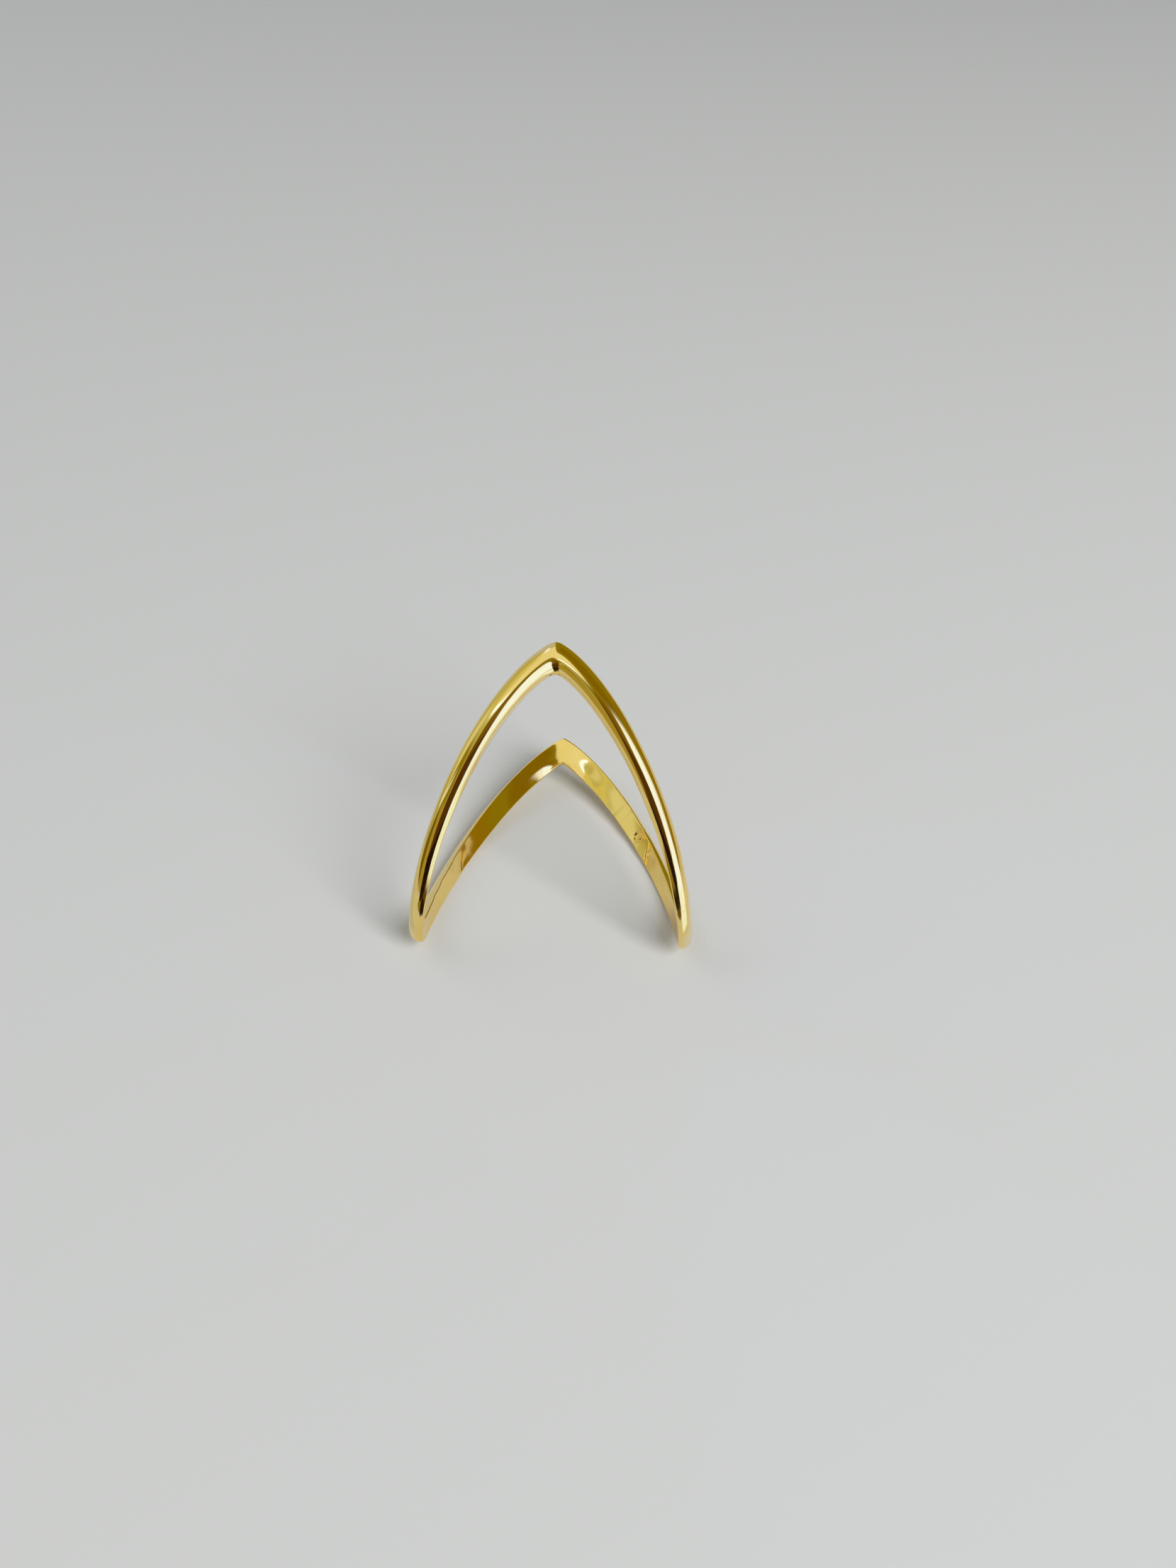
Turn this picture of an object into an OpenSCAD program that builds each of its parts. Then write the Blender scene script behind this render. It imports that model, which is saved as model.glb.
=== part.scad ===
// A plain finger ring whose band runs as a chevron, front and back.
// It lies as it rests by itself: the limbs of the rear chevron touch the
// ground, and the finger axis leans back from upright.
// The functions work in the ring's own frame: the finger axis is +Z, the
// front peak looks along -Y, and the two feet are at -X and +X.

/* [Finger hole] */
// Inside diameter of the band
inner_d = 17.3; // [15:0.1:21]

/* [Chevron] */
// Height of a peak above the feet, along the finger axis
peak_h = 17.7; // [12:0.1:20]
// How far a limb bows out of the straight line from peak to foot
limb_bow = 2.3; // [0:0.1:4]
// How much steeper a limb is in its middle than at its ends
limb_sway = 5.9; // [0:0.1:7]

/* [Band] */
// Thickness of the band at the crown of its domed outer side
band_t = 1.0; // [0.8:0.05:1.6]
// Thickness of the band at its sides, where the dome starts
side_t = 0.4; // [0.3:0.05:0.6]
// Width of the band at the front peak, square to the limb
front_w = 1.85; // [1.2:0.05:2.4]
// Width of the band at the rear peak, square to the limb
rear_w = 1.75; // [1.2:0.05:2.4]
// Width of the band at the feet, square to the limb
foot_w = 1.1; // [0.9:0.05:1.6]
// Share of an ellipse's half width that the dome spans, from flat to full
dome_share = 0.88; // [0.7:0.01:0.96]

/* [Corners] */
// How much rounding its corners takes off the front peak
front_soft = 0.25; // [0.05:0.05:0.8]
// How much rounding its corners takes off the rear peak
rear_soft = 0.1; // [0.05:0.05:0.8]
// How much rounding lifts the notch over a foot
foot_notch_soft = 0.9; // [0.2:0.05:1.4]
// How much rounding lifts the tip of a foot
foot_tip_soft = 1.0; // [0.2:0.05:1.4]

/* [Rest] */
// Lean of the finger axis from upright at which the ring balances
rest_lean = 59.5; // [50:0.1:68]

/* [Hidden] */

bore_r = inner_d / 2;
bore_stock = 0.3;                        // metal inside the finger hole, cut away by the bore
stock_share = 0.35;                      // how much narrower it is, as a share of half the height
edge_r = 0.12;                           // rounding of the inner edges, through the thickness
edge_share = 0.1;                        // the same rounding, as a share of half the height
corner_r = 0.1;                          // rounding of the dome's edges, through the thickness
corner_share = 0.08;                     // the same rounding, as a share of half the height
limb_len = (bore_r + band_t / 2) * PI / 2;
limb_steps = 32;                         // stations from a peak to a foot
crowding = 0.8;                          // how strongly they crowd towards peak and foot
dome_steps = 12;                         // facets over the dome
corner_steps = 2;                        // facets round each edge of the dome
edge_steps = 2;                          // facets round each inner edge

// Height of the band's middle line, where u is 0 at a peak and 1 at a foot
function mid_z(u) = peak_h * (1 - u) + u * (1 - u) * (limb_bow + limb_sway * (1 - 2 * u));

// Rise over run of the middle line, with the band unrolled
function slope(u) =
    (peak_h - limb_bow * (1 - 2 * u) - limb_sway * ((1 - 2 * u) ^ 2 - 2 * u * (1 - u))) / limb_len;

// Climb of the middle line over a whole limb, as steep as it is at a peak and at a foot
peak_climb = peak_h - limb_bow - limb_sway;
foot_climb = peak_h + limb_bow - limb_sway;

// Share of the limb, held back near a peak and a foot so that both come out rounded
function held_share(u, peak_soft, foot_soft) =
    sqrt(u ^ 2 + (peak_soft / peak_climb) ^ 2)
    + 1 - u - sqrt((1 - u) ^ 2 + (foot_soft / foot_climb) ^ 2);

// Height of one edge of the band where the held share is u: side is 1 on top and -1 below
function edge_z(u, peak_w, side) =
    mid_z(u) + side * 0.5 * (peak_w * (1 - u) + foot_w * u) * sqrt(1 + slope(u) ^ 2);

// Distance of the dome outside the bore, at a share of half the height
dome_cut = sqrt(1 - dome_share ^ 2);
function dome_r(share) =
    side_t + (band_t - side_t) * (sqrt(1 - (dome_share * share) ^ 2) - dome_cut) / (1 - dome_cut);

// Rounding of the dome's top edge, where t goes from 0 on the side to 1 on the dome
function corner_point(t) =
    (1 - t) ^ 2 * [1, side_t - corner_r] + 2 * t * (1 - t) * [1, side_t]
    + t ^ 2 * [1 - corner_share, dome_r(1 - corner_share)];

// The same point below the middle line
function below(point) = [-point[0], point[1]];

// Section points as [share of half the height, distance outside the bore]
top_corner = [for (i = [0 : corner_steps]) corner_point(i / corner_steps)];
dome = [for (i = [1 : dome_steps - 1])
    let (share = (1 - corner_share) * (1 - 2 * i / dome_steps))
    [share, dome_r(share)]];
low_corner = [for (i = [corner_steps : -1 : 0]) below(top_corner[i])];
low_edge = [for (i = [0 : edge_steps])
    let (turn = 60 * i / edge_steps)
    [edge_share * (1 - cos(turn)) - 1, edge_r * (1 - sin(turn))]];
stock = [[stock_share - 1, -bore_stock], [1 - stock_share, -bore_stock]];
top_edge = [for (i = [edge_steps : -1 : 0]) below(low_edge[i])];
outside = concat(top_corner, dome, low_corner);
section = concat(outside, low_edge, stock, top_edge);

// Stations as [angle from the front peak, share of the limb, is on the front half]
stations = [for (limb = [0 : 3], i = [0 : limb_steps - 1])
    let (s = i / limb_steps, along = s - crowding * sin(360 * s) / (2 * PI))
    [90 * (limb + along), limb % 2 == 0 ? along : 1 - along, limb == 0 || limb == 3]];

// The section's points at one station
function placed(station, points) =
    let (peak_w = station[2] ? front_w : rear_w,
         peak_soft = station[2] ? front_soft : rear_soft,
         top = edge_z(held_share(station[1], peak_soft, foot_notch_soft), peak_w, 1),
         low = edge_z(held_share(station[1], peak_soft, foot_tip_soft), peak_w, -1))
    [for (p = points)
        let (r = bore_r + p[1])
        [r * sin(station[0]), -r * cos(station[0]), (top + low + p[0] * (top - low)) / 2]];

// Where the leaning ring's outer side reaches, which sets it on the ground
outer_points = [for (station = stations) each placed(station, outside)];
lying_y = [for (p = outer_points) p[1] * cos(rest_lean) + p[2] * sin(rest_lean)];
lying_z = [for (p = outer_points) p[2] * cos(rest_lean) - p[1] * sin(rest_lean)];

// The band with stock inside its finger hole
module swept_band() {
    sides = len(section);
    count = len(stations);
    polyhedron(
        points = [for (station = stations) each placed(station, section)],
        faces = [for (i = [0 : count - 1], j = [0 : sides - 1])
            let (next = (i + 1) % count, turn = (j + 1) % sides)
            [i * sides + j, next * sides + j, next * sides + turn, i * sides + turn]]);
}

// The whole ring: the band, bored to its finger size and laid down
module band() {
    color([0.83, 0.66, 0.27])
    translate([0, -(min(lying_y) + max(lying_y)) / 2, -min(lying_z)])
    rotate([-rest_lean, 0, 0])
    difference() {
        swept_band();
        translate([0, 0, -peak_h])
        cylinder(r = bore_r, h = 3 * peak_h, $fn = 240);
    }
}

band();
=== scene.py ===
"""A polished gold chevron ring lying on a pale studio floor.

The file is laid out as an add-on and is run as a script. The band is swept from a few
driving sizes, in metres, and lies where the construction model lies.
"""
import math
from typing import NamedTuple

import bmesh
import bpy
import numpy as np
from mathutils import Matrix, Vector, noise


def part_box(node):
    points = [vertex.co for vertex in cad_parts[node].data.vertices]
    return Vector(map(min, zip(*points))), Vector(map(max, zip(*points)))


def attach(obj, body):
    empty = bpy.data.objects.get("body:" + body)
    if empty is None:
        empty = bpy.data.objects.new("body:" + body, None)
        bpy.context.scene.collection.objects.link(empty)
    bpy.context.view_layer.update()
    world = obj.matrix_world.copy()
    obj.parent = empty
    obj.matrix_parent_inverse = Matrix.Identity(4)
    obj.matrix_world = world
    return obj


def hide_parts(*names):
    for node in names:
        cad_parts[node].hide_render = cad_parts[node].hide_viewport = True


bl_info = {
    "name": "Chevron Ring",
    "version": (1, 0, 0),
    "blender": (4, 5, 0),
    "location": "View3D > Sidebar > Chevron Ring",
    "description": "Builds a polished gold chevron ring and the studio that it lies in",
    "category": "Mesh",
}

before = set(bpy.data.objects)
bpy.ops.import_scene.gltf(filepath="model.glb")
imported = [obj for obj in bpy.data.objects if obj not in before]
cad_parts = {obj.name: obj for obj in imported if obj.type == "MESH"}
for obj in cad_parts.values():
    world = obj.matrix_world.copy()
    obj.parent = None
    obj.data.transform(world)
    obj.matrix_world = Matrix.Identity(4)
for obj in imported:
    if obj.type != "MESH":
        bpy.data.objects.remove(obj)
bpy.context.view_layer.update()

# How finely the band is swept
LIMB_STEPS = 260        # stations from a peak to a foot
CROWDING = 0.8          # how strongly the stations crowd towards peak and foot
DOME_STEPS = 36         # facets over the domed outer side
CORNER_STEPS = 6        # facets round each edge of the dome
SIDE_STEPS = 2          # facets over each straight side
EDGE_STEPS = 5          # facets round each inner edge
INNER_STEPS = 22        # facets across the inner face
MARK_CUTS = 3           # extra cuts of the faces that the punched marks lie in
MARK_REACH = 0.75       # share of a mark's size round it that is cut finer

# The gold's texture
TONE_SCALE, TONE_DETAIL = 420.0, 3.0    # noise that the deeper and duller patches follow
DEEP_SPAN = (0.45, 0.75)                # part of that noise over which the colour deepens
DULL_SPAN = (0.35, 0.75)                # part of that noise over which the polish dulls
WAVE_SCALE, WAVE_DETAIL = 500.0, 1.0    # noise of the polishing waves
HAIR_SCALE = (900.0, 26000.0, 1.0)      # noise of the hairlines, along and across the band
HAIR_DETAIL = 4.0

# The studio
FLOOR_ROUGHNESS, FLOOR_SPECULAR = 0.9, 0.2
FLOOR_SIDES = 64                        # sides of the floor's disc
BACKDROP_SEGMENTS, BACKDROP_RINGS = 48, 24
BACKDROP_GLOW = 0.6
ROOM_SHARE = 0.95                       # radius of the mirrored room as a share of the floor's
ROOM_STEP = 1.0                         # degrees between the room's points
ROOM_RISE = (-6, 90)                    # degrees of elevation that the room spans
SCREEN_SPAN = (150, 210)                # degrees of azimuth that the screen spans
SCREEN_RISE = (-4, 60)                  # degrees of elevation that it spans
FLOOR_SIDE = (-60, 64)                  # millimetres in x that the floor's tones span
FLOOR_FRONT = (-90, 22)                 # millimetres in y that they span
FLOOR_LIFT = 0.0001                     # metres that they lie over the floor
FAR_FLOOR = ((0.15, 0.0), (0.3, 1.0), (0.95, 1.0))  # radii in metres, and the cover there
FAR_STEP = 3                            # degrees between the far floor's points
FAR_TONE = (0.55, 0.58, 0.70)           # its brightness in red, green and blue
MM_PER_METRE = 1000
PHOTO_WIDTH, PHOTO_HEIGHT = 1659, 2212  # pixels
SENSOR = 36.0                           # millimetres along the picture's long side
CLIP_NEAR, CLIP_FAR = 0.005, 10.0       # metres that the camera sees between


class BandShape(bpy.types.PropertyGroup):
    """The driving sizes of the band."""

    inner_diameter: bpy.props.FloatProperty(
        name="Inside diameter", description="Diameter of the finger hole",
        default=0.0173, min=0.015, max=0.021, precision=5, unit="LENGTH")
    peak_height: bpy.props.FloatProperty(
        name="Peak height", description="Height of a peak above the feet, along the finger",
        default=0.0177, min=0.012, max=0.02, precision=5, unit="LENGTH")
    limb_bow: bpy.props.FloatProperty(
        name="Limb bow", description="How far a limb bows out of the straight line",
        default=0.0023, min=0.0, max=0.004, precision=5, unit="LENGTH")
    limb_sway: bpy.props.FloatProperty(
        name="Limb sway", description="How much steeper a limb is in its middle",
        default=0.0059, min=0.0, max=0.007, precision=5, unit="LENGTH")
    thickness: bpy.props.FloatProperty(
        name="Thickness", description="Thickness at the crown of the dome",
        default=0.001, min=0.0008, max=0.0016, precision=5, unit="LENGTH")
    side_thickness: bpy.props.FloatProperty(
        name="Side thickness", description="Thickness at the sides, where the dome starts",
        default=0.0004, min=0.0003, max=0.0006, precision=5, unit="LENGTH")
    front_width: bpy.props.FloatProperty(
        name="Front width", description="Width at the front peak, square to the limb",
        default=0.00185, min=0.0012, max=0.0024, precision=5, unit="LENGTH")
    rear_width: bpy.props.FloatProperty(
        name="Rear width", description="Width at the rear peak, square to the limb",
        default=0.00175, min=0.0012, max=0.0024, precision=5, unit="LENGTH")
    foot_width: bpy.props.FloatProperty(
        name="Foot width", description="Width at the feet, square to the limb",
        default=0.0011, min=0.0009, max=0.0016, precision=5, unit="LENGTH")
    dome_share: bpy.props.FloatProperty(
        name="Dome share", description="Share of an ellipse's half width that the dome spans",
        default=0.88, min=0.7, max=0.96, subtype="FACTOR")
    front_soft: bpy.props.FloatProperty(
        name="Front rounding", description="What rounding its corners takes off the front peak",
        default=0.00025, min=0.00005, max=0.0008, precision=5, unit="LENGTH")
    rear_soft: bpy.props.FloatProperty(
        name="Rear rounding", description="What rounding its corners takes off the rear peak",
        default=0.0001, min=0.00005, max=0.0008, precision=5, unit="LENGTH")
    foot_notch_soft: bpy.props.FloatProperty(
        name="Foot notch rounding", description="How much rounding lifts the notch over a foot",
        default=0.0009, min=0.0002, max=0.0014, precision=5, unit="LENGTH")
    foot_tip_soft: bpy.props.FloatProperty(
        name="Foot tip rounding", description="How much rounding lifts a foot's tip",
        default=0.001, min=0.0002, max=0.0014, precision=5, unit="LENGTH")
    edge_round: bpy.props.FloatProperty(
        name="Inner edge", description="Rounding of the inner edges, through the thickness",
        default=0.00012, min=0.00005, max=0.0002, precision=5, unit="LENGTH")
    edge_share: bpy.props.FloatProperty(
        name="Inner edge share", description="The same rounding, as a share of half the width",
        default=0.1, min=0.02, max=0.3, subtype="FACTOR")
    corner_round: bpy.props.FloatProperty(
        name="Dome edge", description="Rounding of the dome's edges, through the thickness",
        default=0.0001, min=0.00002, max=0.0002, precision=5, unit="LENGTH")
    corner_share: bpy.props.FloatProperty(
        name="Dome edge share", description="The same rounding, as a share of half the width",
        default=0.08, min=0.02, max=0.3, subtype="FACTOR")
    wave_height: bpy.props.FloatProperty(
        name="Wave height", description="Height of the polishing waves inside the band",
        default=0.00002, min=0.0, max=0.00004, precision=6, unit="LENGTH")
    wave_length: bpy.props.FloatProperty(
        name="Wave length", description="Length of the polishing waves inside the band",
        default=0.0011, min=0.0005, max=0.01, precision=5, unit="LENGTH")
    rest_lean: bpy.props.FloatProperty(
        name="Rest lean", description="Lean of the finger axis from upright as the ring lies",
        default=math.radians(59.5), min=0.0, max=math.pi / 2, subtype="ANGLE")


class MarkShape(bpy.types.PropertyGroup):
    """Two plain punched marks inside the right rear limb."""

    round_angle: bpy.props.FloatProperty(
        name="Round mark place", description="Angle of the round mark from the front peak",
        default=math.radians(137.5), subtype="ANGLE")
    lozenge_angle: bpy.props.FloatProperty(
        name="Lozenge place", description="Angle of the lozenge from the front peak",
        default=math.radians(130.5), subtype="ANGLE")
    size: bpy.props.FloatProperty(
        name="Mark size", description="Height of a mark across the limb",
        default=0.00088, precision=5, unit="LENGTH")
    groove: bpy.props.FloatProperty(
        name="Groove width", description="Width of the punched line",
        default=0.00023, precision=5, unit="LENGTH")
    depth: bpy.props.FloatProperty(
        name="Groove depth", description="Depth of the punched line",
        default=0.00012, precision=6, unit="LENGTH")
    dent_reach: bpy.props.FloatProperty(
        name="Dent reach", description="How far the metal is bent round a mark",
        default=0.0011, precision=5, unit="LENGTH")
    dent_depth: bpy.props.FloatProperty(
        name="Dent depth", description="How deep the punch bends the metal round a mark",
        default=0.000035, precision=6, unit="LENGTH")


class GoldFinish(bpy.types.PropertyGroup):
    """Colour and polish of the gold."""

    colour: bpy.props.FloatVectorProperty(
        name="Gold", description="Colour of the polished gold", subtype="COLOR",
        size=3, default=(1.0, 0.75, 0.26), min=0.0, max=1.0)
    deep_colour: bpy.props.FloatVectorProperty(
        name="Deep gold", description="Colour of the gold in its slightly darker patches",
        subtype="COLOR", size=3, default=(0.97, 0.69, 0.20), min=0.0, max=1.0)
    roughness: bpy.props.FloatProperty(
        name="Roughness", description="Roughness of the best polished metal",
        default=0.05, min=0.0, max=1.0, subtype="FACTOR")
    worn_roughness: bpy.props.FloatProperty(
        name="Worn roughness", description="Roughness of the duller patches",
        default=0.12, min=0.0, max=1.0, subtype="FACTOR")
    wave_depth: bpy.props.FloatProperty(
        name="Polishing waves", description="Depth of the waves left by hand polishing",
        default=0.000006, precision=7, unit="LENGTH")
    scratch_depth: bpy.props.FloatProperty(
        name="Hairlines", description="Depth of the fine wear marks",
        default=0.0000004, precision=8, unit="LENGTH")


class Studio(bpy.types.PropertyGroup):
    """Floor, surroundings and camera."""

    floor_colour: bpy.props.FloatVectorProperty(
        name="Floor", description="Colour of the pale floor", subtype="COLOR",
        size=3, default=(0.80, 0.81, 0.80), min=0.0, max=1.0)
    room_radius: bpy.props.FloatProperty(
        name="Room radius", description="Radius of the floor and the room round it",
        default=1.0, unit="LENGTH")
    room_colour: bpy.props.FloatVectorProperty(
        name="Room", description="Dim warm tone of the room that the gold mirrors",
        subtype="COLOR", size=3, default=(0.24, 0.195, 0.004), min=0.0, max=1.0)
    air_colour: bpy.props.FloatVectorProperty(
        name="Air", description="Even light from all round, which fills the shadows",
        subtype="COLOR", size=3, default=(0.155, 0.158, 0.156), min=0.0, max=1.0)
    lamp_distance: bpy.props.FloatProperty(
        name="Lamp distance", description="Distance of the soft lamps",
        default=0.7, unit="LENGTH")
    screen_distance: bpy.props.FloatProperty(
        name="Screen distance", description="Distance of the dark screen beside the camera",
        default=0.1, unit="LENGTH")
    camera_azimuth: bpy.props.FloatProperty(
        name="Camera azimuth", description="Turn of the camera round the ring, to the right",
        default=math.radians(1.570), subtype="ANGLE")
    camera_elevation: bpy.props.FloatProperty(
        name="Camera elevation", description="Angle of the camera above the floor",
        default=math.radians(39.961), subtype="ANGLE")
    camera_roll: bpy.props.FloatProperty(
        name="Camera roll", description="Anticlockwise roll of the camera",
        default=math.radians(0.393), subtype="ANGLE")
    camera_distance: bpy.props.FloatProperty(
        name="Camera distance", description="Distance from the camera to its aim",
        default=0.102598, precision=4, unit="LENGTH")
    camera_aim: bpy.props.FloatVectorProperty(
        name="Camera aim", description="Point in the middle of the picture",
        size=3, default=(0.002188, 0.0, 0.007325), precision=5, unit="LENGTH")
    focal_pixels: bpy.props.FloatProperty(
        name="Focal length in pixels", description="Focal length, in pixels of the picture",
        default=2050.0)


class Dent(NamedTuple):
    """A shallow hollow that the tools left inside the rear limbs."""

    angle: float        # degrees from the front peak, below zero on the left
    across: float       # metres above the middle of the limb
    reach: tuple        # metres from its middle to its rim, along and across the limb
    depth: float        # metres


class Lamp(NamedTuple):
    """A square soft lamp that lights the floor."""

    name: str
    azimuth: float      # degrees from +Y towards +X
    elevation: float    # degrees above the floor
    side: float         # metres
    power: float        # watts


class Patch(NamedTuple):
    """A soft-edged patch of light or shade that the gold mirrors.

    A patch of the room or the screen is laid out in degrees of azimuth and elevation. One of
    the floor is laid out in millimetres of x and y.
    """

    name: str
    corners: tuple      # pairs, going round
    soft: float         # width of its soft edge
    tone: tuple         # its brightness in red, green and blue


class Card(NamedTuple):
    """A straight card that stands on the floor before the ring, for the gold to mirror."""

    name: str
    start: tuple        # x and y of one end of its foot, in metres
    end: tuple          # x and y of the other end
    heights: tuple      # its height at both ends, in metres
    tone: tuple         # its brightness in red, green and blue


DENTS = (
    Dent(167, -0.0006, (0.0021, 0.0015), 0.0002),
    Dent(147, 0.0, (0.0008, 0.003), 0.00006),
    Dent(138, 0.0, (0.0006, 0.003), 0.00004),
    Dent(-167, -0.001, (0.0023, 0.001), 0.00022),
    Dent(-126, -0.0002, (0.0012, 0.0012), 0.00009),
    Dent(-116, 0.0, (0.0007, 0.003), 0.00005),
    Dent(-109, 0.0, (0.0006, 0.003), 0.00004),
)
LAMPS = (
    Lamp("window_lamp", 139, 40, 0.36, 3.4),
    Lamp("ceiling_lamp", -120, 74, 1.0, 0.8),
    Lamp("wall_lamp", -70, 35, 0.6, 0.7),
)
ROOM_PATCHES = (
    Patch("dim_corner", ((20, 44), (128, 44), (150, 58), (150, 76), (20, 76)), 8,
          (0.21, 0.145, 0.001)),
    Patch("brown_low", ((50, 8), (129, 8), (126, 24), (50, 26)), 6, (0.26, 0.175, 0.003)),
    Patch("floor_rise", ((50, -8), (131, -8), (131, 7), (50, 7)), 4, (0.57, 0.54, 0.50)),
    Patch("left_wall", ((-156, -8), (-6, -8), (-6, 60), (-156, 60)), 8, (0.48, 0.48, 0.26)),
    Patch("bright_wall", ((-100, 20), (-70, 14), (-68, 34), (-102, 46)), 12, (0.68, 0.72, 0.60)),
    Patch("left_floor", ((-112, -8), (-66, -8), (-66, 5), (-112, 8)), 8, (0.32, 0.30, 0.12)),
    Patch("shelf", ((-152, 24), (-110, 20), (-106, 36), (-124, 43), (-150, 38)), 8,
          (0.25, 0.21, 0.002)),
    Patch("cupboard", ((-154, -8), (-128, -8), (-128, 24), (-154, 26)), 6, (0.37, 0.31, 0.07)),
    Patch("door", ((-130, -8), (-104, -8), (-106, 14), (-118, 22), (-130, 22)), 6,
          (0.15, 0.11, 0.003)),
    Patch("shelf_light", ((-127, 29.5), (-97, 13.5), (-96, 17), (-125, 33)), 2.5, (0.9, 1.05, 1.5)),
    Patch("ceiling", ((-187, 66), (-168, 49), (-6, 52), (-6, 91), (-212, 91), (-201, 78)), 7,
          (0.81, 0.83, 0.74)),
    Patch("ceiling_end", ((-116, 46), (-56, 46), (-56, 66), (-112, 64)), 12, (0.64, 0.64, 0.32)),
    Patch("far_wall", ((-40, -8), (-6, -8), (-6, 46), (-36, 46)), 10, (0.52, 0.55, 0.70)),
    Patch("back_window", ((-45, 55), (-30, 40), (-26, 46), (-40, 62)), 3, (0.97, 1.2, 2.5)),
    Patch("long_lamp", ((-163, 50), (-121, 50), (-121, 54), (-163, 56)), 2.5, (1.1, 1.5, 3.2)),
    Patch("dark_wall", ((170, -8), (208, -8), (205, 22), (191, 44), (184, 48), (170, 48)), 8,
          (0.09, 0.03, 0.003)),
    Patch("window_side", ((110, 27), (134, 17), (134, 52), (112, 47)), 16, (0.92, 1.05, 1.9)),
    Patch("window", ((131, -4), (178, -4), (178, 31), (151, 54), (128, 50), (127, 16)), 3.5,
          (0.95, 1.22, 2.5)),
)
SCREEN_PATCHES = (
    Patch("near_screen", ((162.5, 2), (200, 2), (196, 40), (168, 40), (162.5, 26)), 3,
          (0.08, 0.035, 0.002)),
    Patch("screen_top", ((166, 33), (192, 33), (188, 48), (180, 53), (166, 51)), 5,
          (0.19, 0.12, 0.003)),
)
FLOOR_PATCHES = (
    Patch("side_sheen", ((10, -14), (34, -16), (40, 4), (10, 4)), 6, (0.60, 0.71, 1.35)),
    Patch("side_shade", ((-45, -18), (-12, -15), (-12, 10), (-45, 14)), 6, (0.49, 0.53, 0.60)),
    Patch("front_shade", ((-50, -84), (0, -60), (-6, -30), (-13, -31), (-34, -44)), 4,
          (0.24, 0.19, 0.03)),
    Patch("front_dark", ((-15, -66), (11, -58), (-2.5, -24.5), (-9.5, -25)), 1.5,
          (0.020, 0.008, 0.001)),
    Patch("front_dusk", ((1, -50), (10, -50), (9.5, -42), (7.5, -32), (5, -26), (0, -28)), 1.5,
          (0.13, 0.08, 0.006)),
    Patch("sheen", ((13, -54), (48, -66), (58, -52), (20, -19), (10, -18), (9, -26)), 2.5,
          (0.88, 1.10, 1.7)),
)
CARDS = (
    Card("low_flag", (0.0138, -0.0593), (-0.044, -0.077), (0.021, 0.024), (0.015, 0.006, 0.001)),
    Card("low_sheen", (0.0139, -0.0594), (0.077, -0.071), (0.010, 0.011), (0.94, 1.15, 2.0)),
)


def centre_height(share, shape):
    """Height of the band's middle line, where share is 0 at a peak and 1 at a foot."""
    swing = shape.limb_bow + shape.limb_sway * (1 - 2 * share)
    return shape.peak_height * (1 - share) + share * (1 - share) * swing


def limb_length(shape):
    """Length of a limb round the hole, from a peak to a foot."""
    return (shape.inner_diameter / 2 + shape.thickness / 2) * math.pi / 2


def steepness(share, shape):
    """Rise over run of the middle line, with the band unrolled."""
    bow_part = shape.limb_bow * (1 - 2 * share)
    sway_part = shape.limb_sway * ((1 - 2 * share) ** 2 - 2 * share * (1 - share))
    return (shape.peak_height - bow_part - sway_part) / limb_length(shape)


def soft_share(share, peak_soft, foot_soft, shape):
    """Share of the limb, held back near a peak and a foot so that both come out rounded."""
    peak_climb = shape.peak_height - shape.limb_bow - shape.limb_sway
    foot_climb = shape.peak_height + shape.limb_bow - shape.limb_sway
    from_foot = 1 - share
    return (np.sqrt(share ** 2 + (peak_soft / peak_climb) ** 2) + from_foot
            - np.sqrt(from_foot ** 2 + (foot_soft / foot_climb) ** 2))


def edge_height(share, peak_width, peak_soft, side, shape):
    """Height of the top (side 1) or low (side -1) edge of the band."""
    foot_soft = shape.foot_notch_soft if side > 0 else shape.foot_tip_soft
    held = soft_share(share, peak_soft, foot_soft, shape)
    width = peak_width * (1 - held) + shape.foot_width * held
    half_rise = 0.5 * width * np.sqrt(1 + steepness(held, shape) ** 2)
    return centre_height(held, shape) + side * half_rise


def dome_distance(share, shape):
    """Distance of the dome outside the hole, at a share of half the band's height."""
    cut = math.sqrt(1 - shape.dome_share ** 2)
    rise = (np.sqrt(1 - (shape.dome_share * share) ** 2) - cut) / (1 - cut)
    return shape.side_thickness + (shape.thickness - shape.side_thickness) * rise


def section_points(shape):
    """The band's section, as shares of half its height and distances outside the hole."""
    start = 1 - shape.corner_share
    blend = np.linspace(0, 1, CORNER_STEPS + 1)[:, None]
    side_end = np.array((1, shape.side_thickness - shape.corner_round))
    corner = np.array((1, shape.side_thickness))
    dome_end = np.array((start, dome_distance(start, shape)))
    top_corner = ((1 - blend) ** 2 * side_end + 2 * blend * (1 - blend) * corner
                  + blend ** 2 * dome_end)
    across = np.linspace(start, -start, DOME_STEPS + 1)[1:-1]
    dome = np.stack([across, dome_distance(across, shape)], 1)
    low_corner = top_corner[::-1] * (-1, 1)
    depth = np.linspace(side_end[1], shape.edge_round, SIDE_STEPS + 1)[1:]
    low_side = np.stack([-np.ones_like(depth), depth], 1)
    turn = np.linspace(0, math.pi / 2, EDGE_STEPS + 1)[1:]
    low_edge = np.stack([shape.edge_share * (1 - np.cos(turn)) - 1,
                         shape.edge_round * (1 - np.sin(turn))], 1)
    flat = np.linspace(low_edge[-1, 0], -low_edge[-1, 0], INNER_STEPS + 1)[1:-1]
    inner = np.stack([flat, np.zeros_like(flat)], 1)
    top_edge = np.concatenate([low_side, low_edge])[::-1] * (-1, 1)
    return np.concatenate([top_corner, dome, low_corner, low_side, low_edge, inner, top_edge[:-1]])


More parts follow.
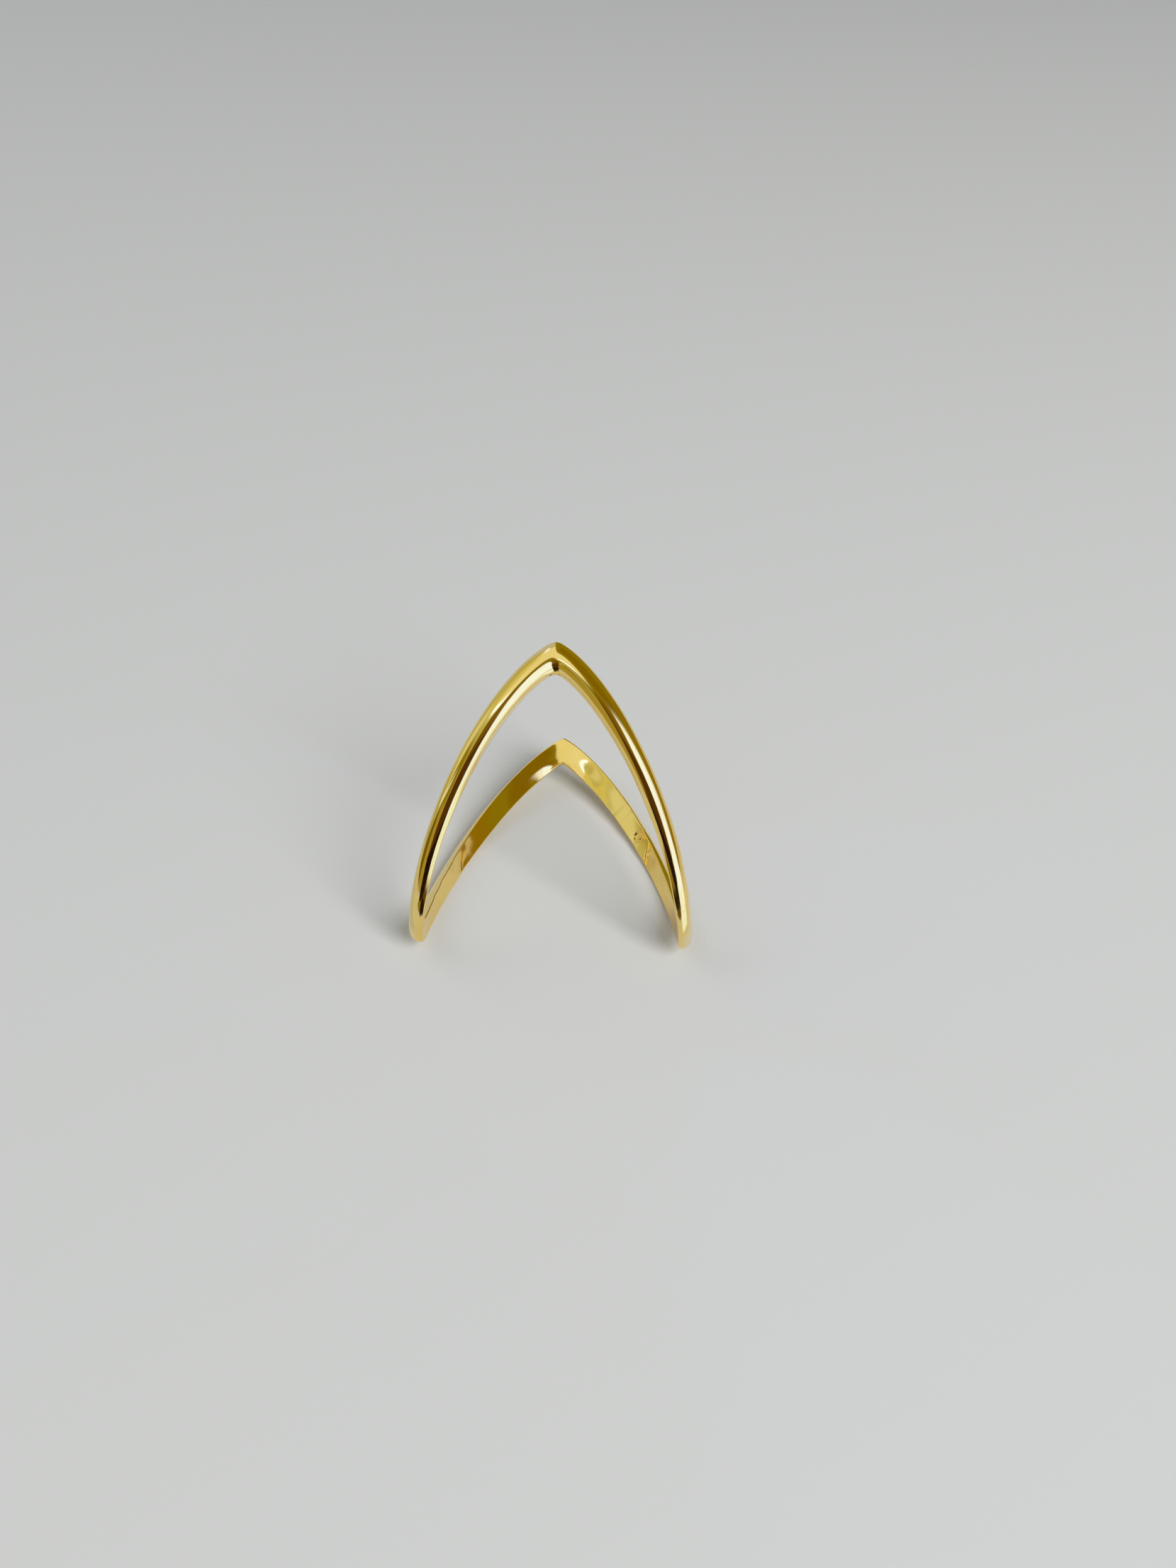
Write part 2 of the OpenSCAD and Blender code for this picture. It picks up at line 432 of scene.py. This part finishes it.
def station_angles():
    """Angle from the front peak, share of the limb and front half or not, of each station."""
    even = np.arange(LIMB_STEPS) / LIMB_STEPS
    along = even - CROWDING * np.sin(2 * math.pi * even) / (2 * math.pi)
    angle = np.concatenate([(limb + along) * math.pi / 2 for limb in range(4)])
    share = np.concatenate([along, 1 - along, along, 1 - along])
    front = np.repeat([True, False, False, True], LIMB_STEPS)
    return angle, share, front


def band_points(shape):
    """Points of the swept band in the ring's own frame, by station and by section point."""
    angle, share, front = station_angles()
    peak_width = np.where(front, shape.front_width, shape.rear_width)
    peak_soft = np.where(front, shape.front_soft, shape.rear_soft)
    top = edge_height(share, peak_width, peak_soft, 1, shape)[:, None]
    low = edge_height(share, peak_width, peak_soft, -1, shape)[:, None]
    section = section_points(shape)
    radius = shape.inner_diameter / 2 + section[:, 1]
    height = (top + low + section[:, 0] * (top - low)) / 2
    return np.stack([radius * np.sin(angle)[:, None], -radius * np.cos(angle)[:, None], height], -1)


def lying_place(points, shape):
    """Matrix that leans the ring back and sets it on the floor, in the middle of its box."""
    lean = Matrix.Rotation(-shape.rest_lean, 4, "X")
    lying = points.reshape(-1, 3) @ np.array(lean.to_3x3()).T
    low, high = lying.min(0), lying.max(0)
    return Matrix.Translation((0, -(low[1] + high[1]) / 2, -low[2])) @ lean


def running_length(steps):
    """Distance covered at each point of a closed run of steps."""
    return np.concatenate([[0], np.cumsum(np.linalg.norm(steps, axis=-1))])


def sweep_mesh(name, own):
    """A mesh of quads round and along the band, with its lengths in metres as UVs."""
    stations, sides = own.shape[:2]
    one = np.arange(stations)[:, None]
    two = np.arange(sides)[None, :]
    after_one, after_two = (one + 1) % stations, (two + 1) % sides
    quads = np.stack([one * sides + two, after_one * sides + two,
                      after_one * sides + after_two, one * sides + after_two], -1).reshape(-1, 4)
    mesh = bpy.data.meshes.new(name)
    mesh.from_pydata(own.reshape(-1, 3).tolist(), [], quads.tolist())
    crown = own[:, CORNER_STEPS + DOME_STEPS // 2]
    along = running_length(np.roll(crown, -1, 0) - crown)
    mid_limb = own[LIMB_STEPS // 2]
    around = running_length(np.roll(mid_limb, -1, 0) - mid_limb)
    lengths = np.stack(np.meshgrid(along, around, indexing="ij"), -1)
    corners = [lengths[:-1, :-1], lengths[1:, :-1], lengths[1:, 1:], lengths[:-1, 1:]]
    layer = mesh.uv_layers.new(name="lengths")
    layer.data.foreach_set("uv", np.stack(corners, 2).reshape(-1).astype(np.float32))
    mesh.polygons.foreach_set("use_smooth", np.ones(len(mesh.polygons), bool))
    mesh.update()
    return mesh


def limb_frame(angle, shape):
    """Height of a rear limb's middle line at an angle, and the limb's climb there."""
    share = (math.pi - abs(angle)) / (math.pi / 2)
    top = edge_height(share, shape.rear_width, shape.rear_soft, 1, shape)
    low = edge_height(share, shape.rear_width, shape.rear_soft, -1, shape)
    return (top + low) / 2, math.copysign(math.atan(steepness(share, shape)), angle)


def over_limb(point, angle, frame_at, shape):
    """Lengths along and across the limb from a place on its middle line to a point."""
    height, climb = frame_at
    around = (math.atan2(point.x, -point.y) - angle) * shape.inner_diameter / 2
    rise = point.z - height
    return (around * math.cos(climb) + rise * math.sin(climb),
            rise * math.cos(climb) - around * math.sin(climb))


def round_line(along, across, reach):
    """Distance from the line of the round mark."""
    return abs(math.hypot(along, across) - reach)


def lozenge_line(along, across, reach):
    """Distance from the line of the lozenge."""
    return abs(abs(along) + abs(across) - reach) / math.sqrt(2)


def punch_marks(mesh, shape, marks):
    """Cuts the inner face finer round the marks and presses their lines into it."""
    side_radius = shape.inner_diameter / 2 + shape.side_thickness
    reach = (marks.size - marks.groove) / 2
    places = [(angle, limb_frame(angle, shape), line) for angle, line in
              ((marks.round_angle, round_line), (marks.lozenge_angle, lozenge_line))]
    metal = bmesh.new()
    metal.from_mesh(mesh)
    faces = []
    for face in metal.faces:
        middle = face.calc_center_median()
        if math.hypot(middle.x, middle.y) > side_radius or middle.x < 0:
            continue
        offsets = [over_limb(middle, angle, at, shape) for angle, at, _ in places]
        if min(math.hypot(*offset) for offset in offsets) < marks.size * MARK_REACH:
            faces.append(face)
    edges = list({edge for face in faces for edge in face.edges})
    bmesh.ops.subdivide_edges(metal, edges=edges, cuts=MARK_CUTS, use_grid_fill=True)
    for point in metal.verts:
        if math.hypot(point.co.x, point.co.y) > side_radius or point.co.x < 0:
            continue
        press = 0.0
        for angle, at, line in places:
            offset = over_limb(point.co, angle, at, shape)
            press = max(press, marks.depth * hollow(line(*offset, reach), marks.groove / 2)
                        + marks.dent_depth * hollow(math.hypot(*offset), marks.dent_reach))
        press_outwards(point.co, press, shape)
    metal.to_mesh(mesh)
    metal.free()
    mesh.update()


def hollow(distance, reach):
    """Depth of a round hollow at a distance from its middle, as a share of its full depth."""
    return (1 + math.cos(math.pi * min(distance / reach, 1))) / 2


def press_outwards(place, depth, shape):
    """Moves a point of the inner face outwards, and the sides of the band less and less."""
    own_radius = math.hypot(place.x, place.y)
    outside = (own_radius - shape.inner_diameter / 2) / shape.side_thickness
    factor = 1 + depth * (1 - min(max(outside, 0), 1)) / own_radius
    place.x *= factor
    place.y *= factor


def wave_inside(mesh, shape):
    """Leaves the inner face with the waves and dents of hand work."""
    radius = shape.inner_diameter / 2
    dents = [(dent, math.radians(dent.angle), limb_frame(math.radians(dent.angle), shape))
             for dent in DENTS]
    for point in mesh.vertices:
        if math.hypot(point.co.x, point.co.y) > radius + shape.side_thickness:
            continue
        depth = shape.wave_height * (1 + noise.noise(point.co / shape.wave_length))
        for dent, angle, place in dents:
            if point.co.x * angle > 0 and point.co.y > 0:
                along, across = over_limb(point.co, angle, place, shape)
                away = math.hypot(along / dent.reach[0], (across - dent.across) / dent.reach[1])
                depth += dent.depth * hollow(away, 1)
        press_outwards(point.co, depth, shape)
    mesh.update()


class BAND_OT_build(bpy.types.Operator):
    """Sweep the band, punch its marks and polish it"""

    bl_idname = "chevron_ring.band"
    bl_label = "Build Band"

    def execute(self, context):
        shape = context.scene.chevron_band
        own = band_points(shape)
        mesh = sweep_mesh("polished_band", own)
        wave_inside(mesh, shape)
        punch_marks(mesh, shape, context.scene.chevron_marks)
        mesh.transform(lying_place(own, shape))
        band = bpy.data.objects.new("polished_band", mesh)
        context.collection.objects.link(band)
        mesh.materials.append(gold_material(context.scene.chevron_gold))
        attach(band, "root")
        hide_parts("band")
        return {"FINISHED"}


def new_material(name):
    """An empty node material, with its nodes, its links and its output node."""
    material = bpy.data.materials.new(name)
    material.use_nodes = True
    nodes, links = material.node_tree.nodes, material.node_tree.links
    nodes.clear()
    output = nodes.new("ShaderNodeOutputMaterial")
    return material, nodes, links, output


def gold_material(finish):
    """Polished yellow gold with soft polishing waves, faint hairlines and duller patches."""
    material, nodes, links, output = new_material("polished_gold")
    shader = nodes.new("ShaderNodeBsdfPrincipled")
    shader.inputs["Metallic"].default_value = 1.0
    links.new(shader.outputs["BSDF"], output.inputs["Surface"])
    place = nodes.new("ShaderNodeTexCoord")

    patches = nodes.new("ShaderNodeTexNoise")
    patches.inputs["Scale"].default_value = TONE_SCALE
    patches.inputs["Detail"].default_value = TONE_DETAIL
    links.new(place.outputs["Object"], patches.inputs["Vector"])
    blend = nodes.new("ShaderNodeMix")
    blend.data_type = "RGBA"
    blend.inputs["A"].default_value = (*finish.colour, 1.0)
    blend.inputs["B"].default_value = (*finish.deep_colour, 1.0)
    deep = nodes.new("ShaderNodeMapRange")
    deep.inputs["From Min"].default_value = DEEP_SPAN[0]
    deep.inputs["From Max"].default_value = DEEP_SPAN[1]
    links.new(patches.outputs["Fac"], deep.inputs["Value"])
    links.new(deep.outputs["Result"], blend.inputs["Factor"])
    links.new(blend.outputs["Result"], shader.inputs["Base Color"])

    dull = nodes.new("ShaderNodeMapRange")
    dull.inputs["From Min"].default_value = DULL_SPAN[0]
    dull.inputs["From Max"].default_value = DULL_SPAN[1]
    dull.inputs["To Min"].default_value = finish.roughness
    dull.inputs["To Max"].default_value = finish.worn_roughness
    links.new(patches.outputs["Fac"], dull.inputs["Value"])
    links.new(dull.outputs["Result"], shader.inputs["Roughness"])

    waves = nodes.new("ShaderNodeTexNoise")
    waves.inputs["Scale"].default_value = WAVE_SCALE
    waves.inputs["Detail"].default_value = WAVE_DETAIL
    links.new(place.outputs["Object"], waves.inputs["Vector"])
    soft_bump = nodes.new("ShaderNodeBump")
    soft_bump.inputs["Strength"].default_value = 1.0
    soft_bump.inputs["Distance"].default_value = finish.wave_depth
    links.new(waves.outputs["Fac"], soft_bump.inputs["Height"])

    stretch = nodes.new("ShaderNodeMapping")
    stretch.inputs["Scale"].default_value = HAIR_SCALE
    links.new(place.outputs["UV"], stretch.inputs["Vector"])
    hairs = nodes.new("ShaderNodeTexNoise")
    hairs.inputs["Scale"].default_value = 1.0
    hairs.inputs["Detail"].default_value = HAIR_DETAIL
    links.new(stretch.outputs["Vector"], hairs.inputs["Vector"])
    fine_bump = nodes.new("ShaderNodeBump")
    fine_bump.inputs["Strength"].default_value = 1.0
    fine_bump.inputs["Distance"].default_value = finish.scratch_depth
    links.new(hairs.outputs["Fac"], fine_bump.inputs["Height"])
    links.new(soft_bump.outputs["Normal"], fine_bump.inputs["Normal"])
    links.new(fine_bump.outputs["Normal"], shader.inputs["Normal"])
    return material


def towards(azimuth, elevation):
    """Unit vector from the ring, with the azimuth from +Y towards +X, in degrees."""
    turn, rise = math.radians(azimuth), math.radians(elevation)
    flat = math.cos(rise)
    return Vector((math.sin(turn) * flat, math.cos(turn) * flat, math.sin(rise)))


def patch_weight(patch, across, along):
    """How far each place lies inside a patch, from 0 outside to 1 inside.

    Azimuths are turned by whole turns to lie near the patch, which leaves the floor's
    millimetres as they are.
    """
    corners = np.array(patch.corners, float)
    middle = corners[:, 0].mean()
    across = middle + (across - middle + 180) % 360 - 180
    depth = np.full(across.shape, np.inf)
    for here, after in zip(corners, np.roll(corners, -1, 0)):
        run = after - here
        inside = run[0] * (along - here[1]) - run[1] * (across - here[0])
        depth = np.minimum(depth, inside / math.hypot(*run))
    share = np.clip(depth / patch.soft + 0.5, 0, 1)
    return share * share * (3 - 2 * share)


def add_mirrored(name, points, quads, tones, weights, place):
    """A surface that reflections alone see, with a tone and a weight at each of its points."""
    mesh = bpy.data.meshes.new(name)
    mesh.from_pydata(points.reshape(-1, 3).tolist(), [], quads)
    layer = mesh.color_attributes.new(name="tone", type="FLOAT_COLOR", domain="POINT")
    colours = np.concatenate([tones.reshape(-1, 3), weights.reshape(-1, 1)], 1)
    layer.data.foreach_set("color", colours.reshape(-1).astype(np.float32))
    mesh.materials.append(tone_material(name))
    mesh.update()
    thing = bpy.data.objects.new(name, mesh)
    thing.location = place
    thing.visible_camera = thing.visible_diffuse = thing.visible_shadow = False
    thing.visible_transmission = thing.visible_volume_scatter = False
    bpy.context.collection.objects.link(thing)


def tone_material(name):
    """A glowing surface that takes its brightness and its cover from its points."""
    material, nodes, links, output = new_material(name)
    tone = nodes.new("ShaderNodeVertexColor")
    tone.layer_name = "tone"
    light = nodes.new("ShaderNodeEmission")
    light.inputs["Strength"].default_value = 1.0
    links.new(tone.outputs["Color"], light.inputs["Color"])
    clear = nodes.new("ShaderNodeBsdfTransparent")
    cover = nodes.new("ShaderNodeMixShader")
    links.new(tone.outputs["Alpha"], cover.inputs["Fac"])
    links.new(clear.outputs["BSDF"], cover.inputs[1])
    links.new(light.outputs["Emission"], cover.inputs[2])
    links.new(cover.outputs["Shader"], output.inputs["Surface"])
    return material


def laid_over(patches, across, along, base):
    """Cover and tones of patches laid over a base tone."""
    cover = np.zeros(across.shape)
    tones = np.broadcast_to(np.array(base, float), (*across.shape, 3)).copy()
    for patch in patches:
        weight = patch_weight(patch, across, along)
        tones += weight[..., None] * (np.array(patch.tone) - tones)
        cover = np.maximum(cover, weight)
    return cover, tones


def grid_quads(rows, columns):
    """Quads of a grid of points."""
    one, two = np.meshgrid(np.arange(rows - 1), np.arange(columns - 1), indexing="ij")
    first = one * columns + two
    quads = np.stack([first, first + 1, first + columns + 1, first + columns], -1)
    return quads.reshape(-1, 4).tolist()


def ball_part(azimuths, elevations, distance):
    """Points of a part of a ball, with their directions in degrees."""
    azimuth, elevation = np.meshgrid(azimuths, elevations, indexing="ij")
    turn, rise = np.radians(azimuth), np.radians(elevation)
    flat = distance * np.cos(rise)
    points = np.stack([flat * np.sin(turn), flat * np.cos(turn), distance * np.sin(rise)], -1)
    return points, azimuth, elevation


def add_room(studio, middle):
    """The room that the gold mirrors: soft patches of light and shade on a ball."""
    azimuths = np.arange(-180, 180 + ROOM_STEP, ROOM_STEP)
    elevations = np.arange(ROOM_RISE[0], ROOM_RISE[1] + ROOM_STEP, ROOM_STEP)
    points, azimuth, elevation = ball_part(azimuths, elevations, studio.room_radius * ROOM_SHARE)
    _, tones = laid_over(ROOM_PATCHES, azimuth, elevation, studio.room_colour)
    whole = np.ones(azimuth.shape)
    add_mirrored("mirrored_room", points, grid_quads(*azimuth.shape), tones, whole, middle)


def add_screen(studio, middle):
    """A dark screen beside the camera, for the gold to mirror."""
    azimuths = np.arange(SCREEN_SPAN[0], SCREEN_SPAN[1] + 1)
    elevations = np.arange(SCREEN_RISE[0], SCREEN_RISE[1] + 1)
    points, azimuth, elevation = ball_part(azimuths, elevations, studio.screen_distance)
    cover, tones = laid_over(SCREEN_PATCHES, azimuth, elevation, SCREEN_PATCHES[0].tone)
    add_mirrored("near_screen", points, grid_quads(*azimuth.shape), tones, cover, middle)


def add_cards():
    """Low cards that stand before the ring for the gold to mirror."""
    for card in CARDS:
        feet = [(*card.start, 0.0), (*card.end, 0.0)]
        tops = [(*card.end, card.heights[1]), (*card.start, card.heights[0])]
        tones = np.broadcast_to(np.array(card.tone), (4, 3))
        add_mirrored(card.name, np.array(feet + tops), [(0, 1, 2, 3)], tones, np.ones(4), (0, 0, 0))


def add_floor_patches():
    """Sheen and shade on the floor, as the gold mirrors it."""
    side, front = np.meshgrid(np.arange(FLOOR_SIDE[0], FLOOR_SIDE[1] + 1),
                              np.arange(FLOOR_FRONT[0], FLOOR_FRONT[1] + 1), indexing="ij")
    cover, tones = laid_over(FLOOR_PATCHES, side, front, FLOOR_PATCHES[0].tone)
    lift = np.full(side.shape, FLOOR_LIFT)
    points = np.stack([side / MM_PER_METRE, front / MM_PER_METRE, lift], -1)
    add_mirrored("floor_tones", points, grid_quads(*side.shape), tones, cover, (0, 0, 0))


def add_far_floor():
    """A glowing sheet over the far floor, for the gold to mirror: painted light that makes the far
    floor as bright as the near floor.
    """
    radii, cover = np.array(FAR_FLOOR).T
    turns = np.radians(np.arange(-180, 180 + FAR_STEP, FAR_STEP))
    turn, distance = np.meshgrid(turns, radii, indexing="ij")
    lift = np.full(turn.shape, FLOOR_LIFT)
    points = np.stack([distance * np.sin(turn), distance * np.cos(turn), lift], -1)
    tones = np.broadcast_to(np.array(FAR_TONE), points.shape)
    weights = np.broadcast_to(cover, turn.shape)
    add_mirrored("far_floor", points, grid_quads(*turn.shape), tones, weights, (0, 0, 0))


def add_lamp(lamp, distance, middle):
    """A soft lamp that lights the floor. The camera and the gold don't see it."""
    data = bpy.data.lights.new(lamp.name, "AREA")
    data.shape = "SQUARE"
    data.size = lamp.side
    data.energy = lamp.power
    thing = bpy.data.objects.new(lamp.name, data)
    away = towards(lamp.azimuth, lamp.elevation)
    thing.location = middle + away * distance
    thing.rotation_mode = "QUATERNION"
    thing.rotation_quaternion = away.to_track_quat("Z", "Y")
    thing.visible_camera = thing.visible_glossy = False
    bpy.context.collection.objects.link(thing)


def floor_material(colour):
    """Plain pale matte floor."""
    material, nodes, links, output = new_material("pale_floor")
    shader = nodes.new("ShaderNodeBsdfPrincipled")
    shader.inputs["Base Color"].default_value = (*colour, 1.0)
    shader.inputs["Roughness"].default_value = FLOOR_ROUGHNESS
    shader.inputs["Specular IOR Level"].default_value = FLOOR_SPECULAR
    links.new(shader.outputs["BSDF"], output.inputs["Surface"])
    return material


def add_floor(studio):
    """A pale disc under the ring."""
    mesh = bpy.data.meshes.new("floor")
    disc = bmesh.new()
    bmesh.ops.create_circle(disc, cap_ends=True, segments=FLOOR_SIDES, radius=studio.room_radius)
    disc.to_mesh(mesh)
    disc.free()
    mesh.materials.append(floor_material(studio.floor_colour))
    thing = bpy.data.objects.new("floor", mesh)
    bpy.context.collection.objects.link(thing)


def backdrop_material():
    """Even pale glow."""
    material, nodes, links, output = new_material("backdrop")
    light = nodes.new("ShaderNodeEmission")
    light.inputs["Color"].default_value = (1.0, 1.0, 1.0, 1.0)
    light.inputs["Strength"].default_value = BACKDROP_GLOW
    links.new(light.outputs["Emission"], output.inputs["Surface"])
    return material


def add_backdrop(studio):
    """A pale sphere round the studio that only the camera sees."""
    mesh = bpy.data.meshes.new("backdrop")
    ball = bmesh.new()
    bmesh.ops.create_uvsphere(ball, u_segments=BACKDROP_SEGMENTS, v_segments=BACKDROP_RINGS,
                              radius=studio.room_radius)
    ball.to_mesh(mesh)
    ball.free()
    mesh.materials.append(backdrop_material())
    thing = bpy.data.objects.new("backdrop", mesh)
    thing.visible_diffuse = thing.visible_glossy = thing.visible_shadow = False
    bpy.context.collection.objects.link(thing)


def light_air(scene, colour):
    """Even light from all round, for the floor."""
    world = bpy.data.worlds.new("air")
    world.use_nodes = True
    air = world.node_tree.nodes["Background"]
    air.inputs["Color"].default_value = (*colour, 1.0)
    air.inputs["Strength"].default_value = 1.0
    scene.world = world


def add_camera(scene, studio):
    """The camera at the photograph's angle to the ring."""
    data = bpy.data.cameras.new("camera")
    data.sensor_width = SENSOR
    data.lens = studio.focal_pixels * SENSOR / max(PHOTO_WIDTH, PHOTO_HEIGHT)
    data.clip_start = CLIP_NEAR
    data.clip_end = CLIP_FAR
    camera = bpy.data.objects.new("camera", data)
    back = towards(180 - math.degrees(studio.camera_azimuth),
                   math.degrees(studio.camera_elevation))
    camera.location = Vector(studio.camera_aim) + back * studio.camera_distance
    roll = Matrix.Rotation(studio.camera_roll, 3, "Z")
    camera.rotation_euler = (back.to_track_quat("Z", "Y").to_matrix() @ roll).to_euler()
    scene.collection.objects.link(camera)
    scene.camera = camera


class STUDIO_OT_build(bpy.types.Operator):
    """Set the floor, the lamps, the mirrored room and the camera"""

    bl_idname = "chevron_ring.studio"
    bl_label = "Build Studio"

    def execute(self, context):
        scene = context.scene
        studio = scene.chevron_studio
        low, high = (Vector(corner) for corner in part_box("band"))
        middle = (low + high) / 2
        add_floor(studio)
        add_backdrop(studio)
        add_room(studio, middle)
        add_screen(studio, middle)
        add_cards()
        add_floor_patches()
        add_far_floor()
        for lamp in LAMPS:
            add_lamp(lamp, studio.lamp_distance, middle)
        light_air(scene, studio.air_colour)
        add_camera(scene, studio)
        scene.view_settings.view_transform = "Standard"
        return {"FINISHED"}


class VIEW3D_PT_chevron_ring(bpy.types.Panel):
    """Lists the steps that build the ring"""

    bl_label = "Chevron Ring"
    bl_space_type = "VIEW_3D"
    bl_region_type = "UI"
    bl_category = "Chevron Ring"

    def draw(self, context):
        self.layout.operator(BAND_OT_build.bl_idname)
        self.layout.operator(STUDIO_OT_build.bl_idname)


CLASSES = (BandShape, MarkShape, GoldFinish, Studio, BAND_OT_build, STUDIO_OT_build,
           VIEW3D_PT_chevron_ring)


def register():
    for cls in CLASSES:
        bpy.utils.register_class(cls)
    bpy.types.Scene.chevron_band = bpy.props.PointerProperty(type=BandShape)
    bpy.types.Scene.chevron_marks = bpy.props.PointerProperty(type=MarkShape)
    bpy.types.Scene.chevron_gold = bpy.props.PointerProperty(type=GoldFinish)
    bpy.types.Scene.chevron_studio = bpy.props.PointerProperty(type=Studio)


def unregister():
    del bpy.types.Scene.chevron_studio
    del bpy.types.Scene.chevron_gold
    del bpy.types.Scene.chevron_marks
    del bpy.types.Scene.chevron_band
    for cls in reversed(CLASSES):
        bpy.utils.unregister_class(cls)


def main():
    register()
    bpy.ops.chevron_ring.band()
    bpy.ops.chevron_ring.studio()


if __name__ == "__main__":
    main()
